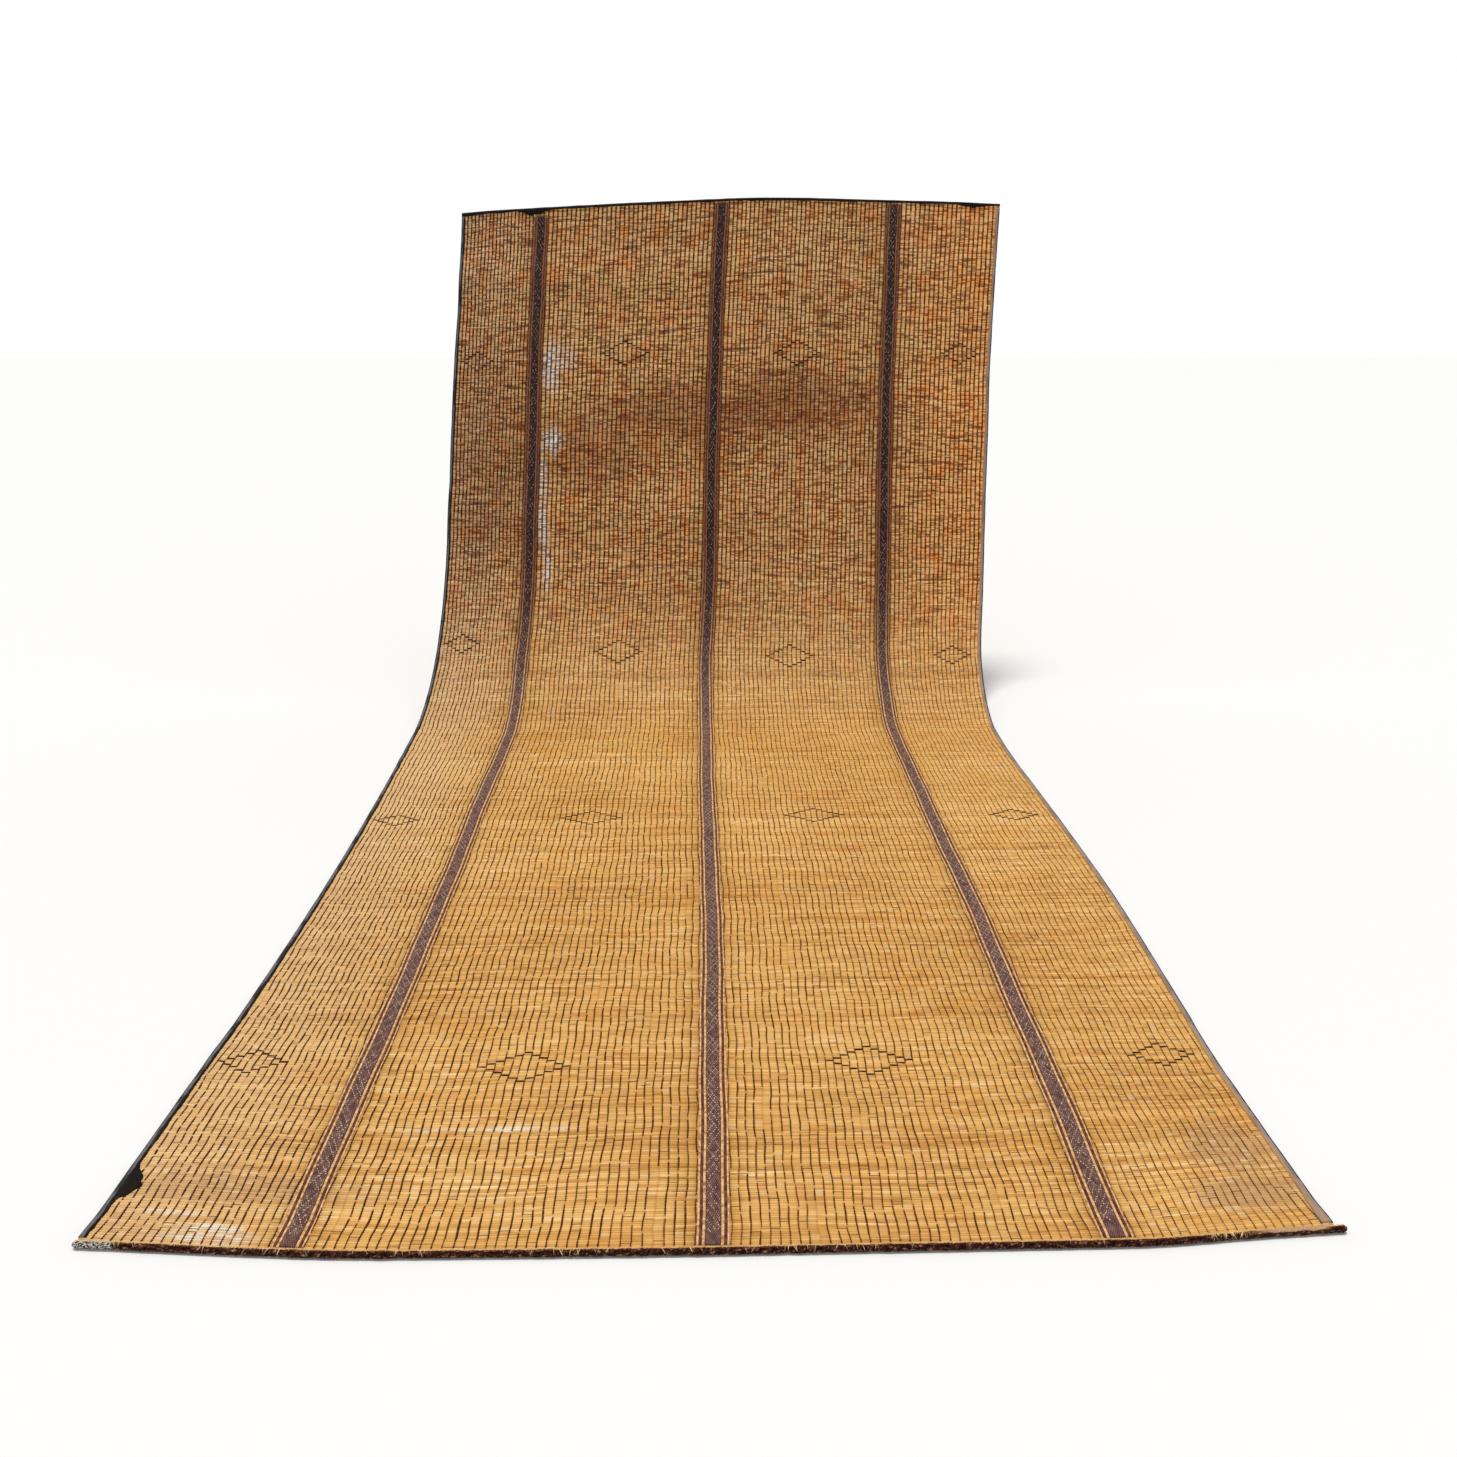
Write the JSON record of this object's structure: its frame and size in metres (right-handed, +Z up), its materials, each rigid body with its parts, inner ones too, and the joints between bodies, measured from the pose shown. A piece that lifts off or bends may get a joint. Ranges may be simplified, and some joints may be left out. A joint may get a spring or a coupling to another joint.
{
  "type": "woven reed floor mat",
  "caption": "Large woven reed and leather floor mat, its near half lying flat and its far half held up against a backdrop.",
  "frame": {"origin": "under the middle of the whole mat, on the floor that its near half lies on", "axes": "+X to the right across the mat, +Y from the near end towards the raised end, +Z up"},
  "size_m": [2.365, 3.8728, 1.9743],
  "materials": {
    "reed": "dry golden straw reeds laid across the mat, faintly glossy, browner where it hangs",
    "thong_leather": "thin dark brown leather thong, dry and matt",
    "band_leather": "plaited purple-brown leather thong with pale criss-cross stitches",
    "binding_leather": "black folded leather with a grey rubbed sheen",
    "roll_leather": "dark brown leather overcast roll with pale flecks of reed between the turns"
  },
  "bodies": {
    "root": {"reed_field": "reed", "band_left": "band_leather", "band_middle": "band_leather", "band_right": "band_leather", "edge_left": "binding_leather", "edge_right": "binding_leather", "end_near_roll": "roll_leather", "end_far_binding": "binding_leather", "diamond_row1_col1": "thong_leather", "diamond_row1_col2": "thong_leather", "diamond_row1_col3": "thong_leather", "diamond_row1_col4": "thong_leather", "diamond_row2_col1": "thong_leather", "diamond_row2_col2": "thong_leather", "diamond_row2_col3": "thong_leather", "diamond_row2_col4": "thong_leather", "diamond_row3_col1": "thong_leather", "diamond_row3_col2": "thong_leather", "diamond_row3_col3": "thong_leather", "diamond_row3_col4": "thong_leather", "diamond_row4_col1": "thong_leather", "diamond_row4_col2": "thong_leather", "diamond_row4_col3": "thong_leather", "diamond_row4_col4": "thong_leather"}
  },
  "joints": []
}
